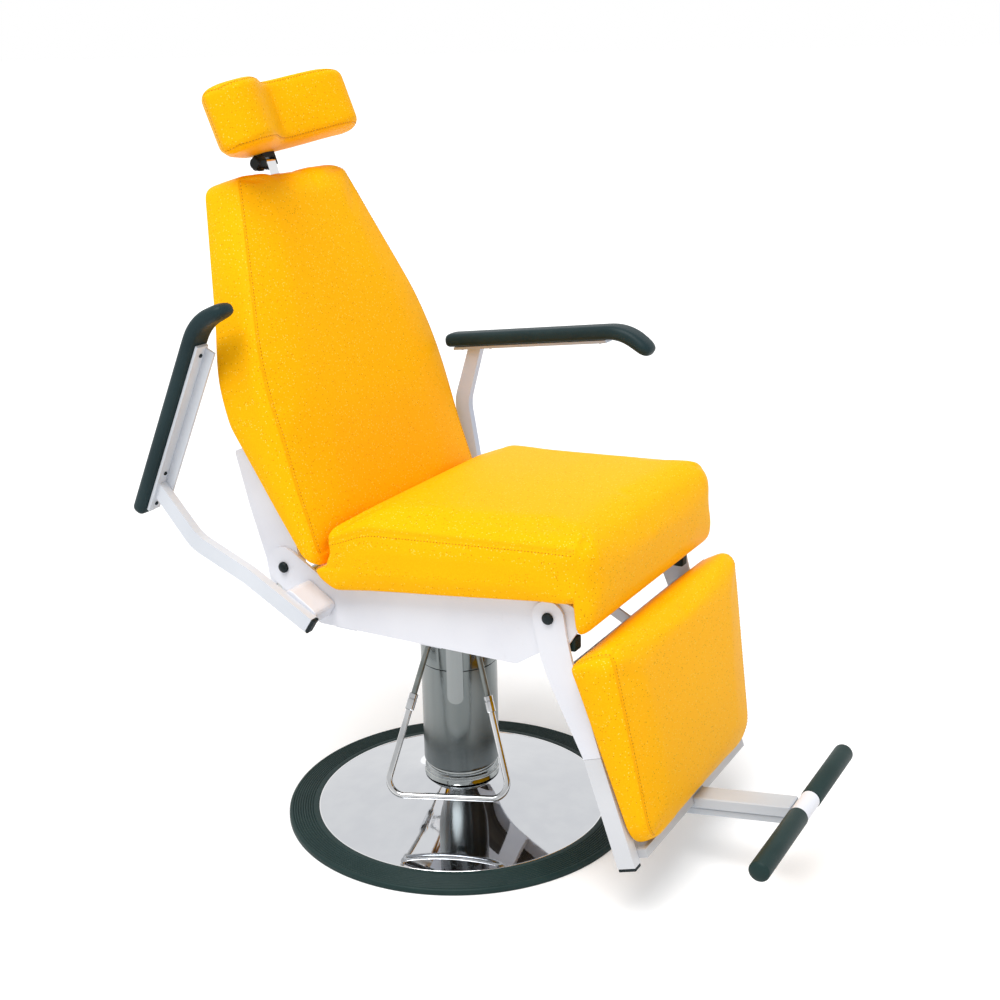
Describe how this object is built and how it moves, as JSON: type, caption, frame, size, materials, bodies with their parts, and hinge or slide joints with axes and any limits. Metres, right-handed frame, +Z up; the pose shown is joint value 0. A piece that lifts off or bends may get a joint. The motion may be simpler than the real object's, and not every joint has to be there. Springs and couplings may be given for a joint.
{
  "type": "examination chair",
  "caption": "Ear, nose and throat examination chair: round pump base, swivelling padded seat, linked reclining back and leg rest, winged head rest, swing-back arms and foot bar.",
  "frame": {"origin": "on the floor at the swivel axis, the middle of the base's underside", "axes": "+Z up along the lift and swivel axis, -Y out of the seat's front, +X to the sitter's left"},
  "size_m": [0.62, 1.0785, 1.2619],
  "materials": {
    "steel": "satin",
    "chrome": "polished",
    "black_rubber": "matte",
    "white_paint": "satin",
    "plywood": "matte",
    "yellow_leatherette": "satin",
    "black_plastic": "satin"
  },
  "bodies": {
    "base": {"base_plate": "steel", "base_dome": "chrome", "base_ring": "black_rubber", "column_collar": "chrome", "column_shroud": "chrome", "column_sleeve": "chrome", "sleeve_tongue": "chrome", "pump_cylinder": "steel"},
    "bail": {"bail_stirrup": "chrome", "bail_yoke": "steel", "bail_joint_left": "steel", "bail_joint_right": "steel"},
    "lift": {"lift_ram": "steel"},
    "seat": {"seat_subframe": "white_paint", "seat_side_plate_left": "white_paint", "seat_side_plate_right": "white_paint", "seat_board": "plywood", "seat_cushion": "yellow_leatherette", "back_pivot_bolt_left": "black_plastic", "back_pivot_bolt_right": "black_plastic", "leg_pivot_bolt_left": "black_plastic", "leg_pivot_bolt_right": "black_plastic", "leg_stop_left": "black_rubber", "leg_stop_right": "black_rubber", "arm_pin_left": "steel", "arm_pin_right": "steel", "gas_cylinder": "black_plastic"},
    "back": {"back_arm_left": "white_paint", "back_arm_right": "white_paint", "back_cross_tube": "steel", "back_mount_plate": "white_paint", "back_cushion": "yellow_leatherette"},
    "gas_spring": {"gas_rod": "chrome"},
    "link": {"link_bar": "steel"},
    "leg": {"leg_bracket_left": "white_paint", "leg_bracket_right": "white_paint", "leg_bar_left": "white_paint", "leg_bar_right": "white_paint", "leg_bar_plug_left": "black_plastic", "leg_bar_plug_right": "black_plastic", "leg_top_tube": "white_paint", "leg_bottom_rail": "white_paint", "leg_cushion": "yellow_leatherette", "foot_guide": "white_paint"},
    "foot": {"foot_bar": "white_paint", "foot_cross_bar": "white_paint", "foot_grip_left": "black_rubber", "foot_grip_right": "black_rubber"},
    "head_mast": {"head_post": "chrome"},
    "head": {"head_bracket": "black_plastic", "head_knob": "black_plastic", "head_cushion": "yellow_leatherette"},
    "arm_left": {"arm_tube_left": "white_paint", "arm_hub_left": "white_paint", "arm_pad_left": "black_plastic", "arm_plug_left": "black_plastic"},
    "arm_right": {"arm_tube_right": "white_paint", "arm_hub_right": "white_paint", "arm_pad_right": "black_plastic", "arm_plug_right": "black_plastic"}
  },
  "joints": [
    {"name": "lift_slide", "type": "slide", "parent": "base", "child": "lift", "axis": [0, 0, 1], "range_m": [0, 0.2]},
    {"name": "swivel", "type": "hinge", "parent": "lift", "child": "seat", "pos_m": [0, 0, 0.3935], "axis": [0, 0, 1], "continuous": true},
    {"name": "recline", "type": "hinge", "parent": "seat", "child": "back", "pos_m": [0, 0.1944, 0.488], "axis": [-1, 0, 0], "range_deg": [0, 50]},
    {"name": "leg_raise", "type": "hinge", "parent": "seat", "child": "leg", "pos_m": [0, -0.2958, 0.488], "axis": [-1, 0, 0], "range_deg": [0, 33.33]},
    {"name": "link_turn", "type": "hinge", "parent": "back", "child": "link", "pos_m": [0, 0.21342, 0.44722], "axis": [-1, 0, 0], "range_deg": [-50, 0]},
    {"name": "gas_stroke", "type": "slide", "parent": "seat", "child": "gas_spring", "axis": [0, -1, 0], "range_m": [0, 0.03804]},
    {"name": "foot_slide", "type": "slide", "parent": "leg", "child": "foot", "axis": [0, -0.9898, 0.1426], "range_m": [-0.012, 0.06]},
    {"name": "head_slide", "type": "slide", "parent": "back", "child": "head_mast", "axis": [0, 0.3198, 0.9475], "range_m": [-0.005, 0.09]},
    {"name": "head_tilt", "type": "hinge", "parent": "head_mast", "child": "head", "pos_m": [0, 0.34744, 1.11657], "axis": [-1, 0, 0], "range_deg": [-20, 20]},
    {"name": "arm_left_swing", "type": "hinge", "parent": "seat", "child": "arm_left", "pos_m": [0.25, 0.1175, 0.4434], "axis": [-1, 0, 0], "range_deg": [0, 57]},
    {"name": "arm_right_swing", "type": "hinge", "parent": "seat", "child": "arm_right", "pos_m": [-0.25, 0.1175, 0.4434], "axis": [1, 0, 0], "range_deg": [0, 57]},
    {"name": "bail_press", "type": "hinge", "parent": "base", "child": "bail", "pos_m": [-0.04065, -0.01684, 0.3565], "axis": [0.3827, -0.9239, 0], "range_deg": [0, 10], "stiffness_Nm_per_rad": 4, "springref_deg": -14.32}
  ],
  "couplings": [
    {"joint": "leg_raise", "follows": "recline", "ratio": 0.6666},
    {"joint": "link_turn", "follows": "recline", "ratio": -1},
    {"joint": "gas_stroke", "follows": "recline", "m_per_rad": 0.04359}
  ]
}
